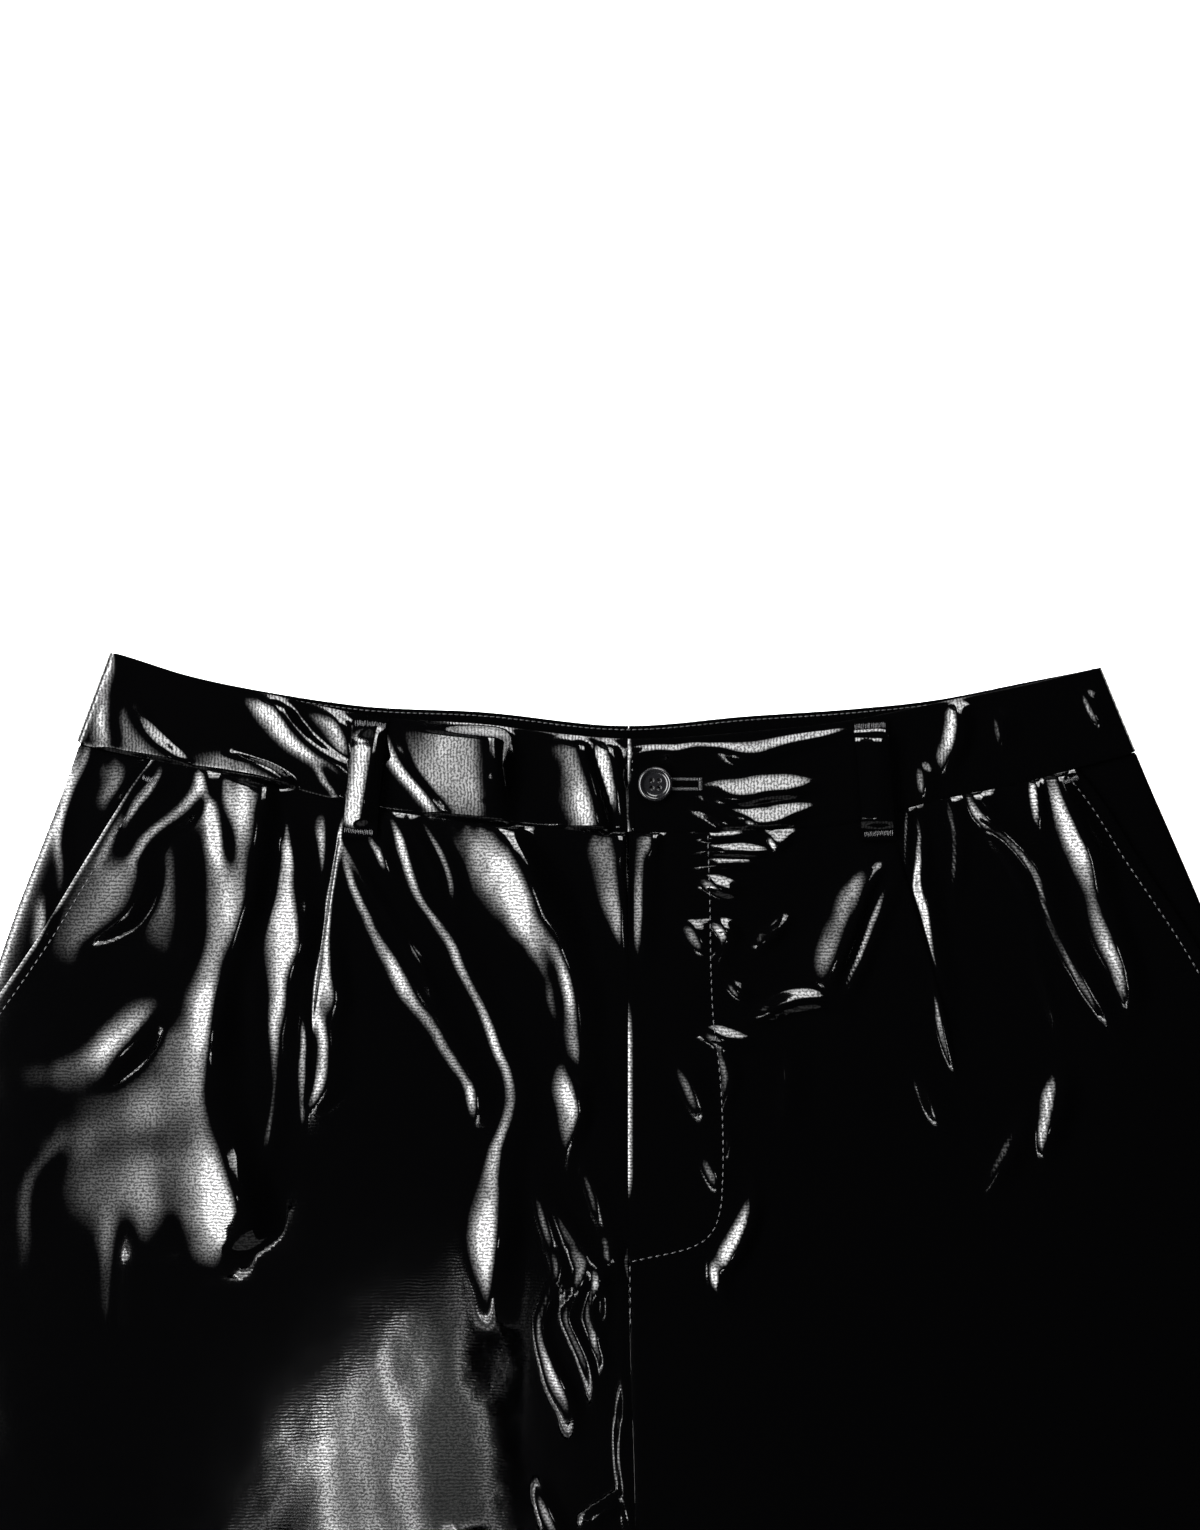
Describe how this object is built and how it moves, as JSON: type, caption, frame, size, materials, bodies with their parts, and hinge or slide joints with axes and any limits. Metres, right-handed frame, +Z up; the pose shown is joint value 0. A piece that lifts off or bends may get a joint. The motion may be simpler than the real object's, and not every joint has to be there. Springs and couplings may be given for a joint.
{
  "type": "straight-leg trousers, laid flat",
  "caption": "Pleated straight-leg trousers in glossy black coated cloth, laid flat front up, with belt loops, slant pockets, buttoned waistband and covered fly.",
  "frame": {"origin": "centre of the laid garment's outline, on the surface that it lies on", "axes": "+Y from the hems to the waist, +X to the wearer's left side, +Z up out of the front"},
  "size_m": [0.601, 1.1103, 0.0125],
  "materials": {
    "coated_cloth": "high-gloss black coating over a fine rib",
    "button": "satin black",
    "thread": "matt black"
  },
  "bodies": {
    "root": {"front_right": "coated_cloth", "front_left": "coated_cloth", "back_right": "coated_cloth", "back_left": "coated_cloth", "pocket_facing_right": "coated_cloth", "pocket_facing_left": "coated_cloth", "waistband_right": "coated_cloth", "waistband_left": "coated_cloth", "belt_loop_front_right": "coated_cloth", "belt_loop_front_left": "coated_cloth", "belt_loop_back_right": "coated_cloth", "belt_loop_back_center": "coated_cloth", "belt_loop_back_left": "coated_cloth", "button": "button", "button_thread": "thread"}
  },
  "joints": []
}
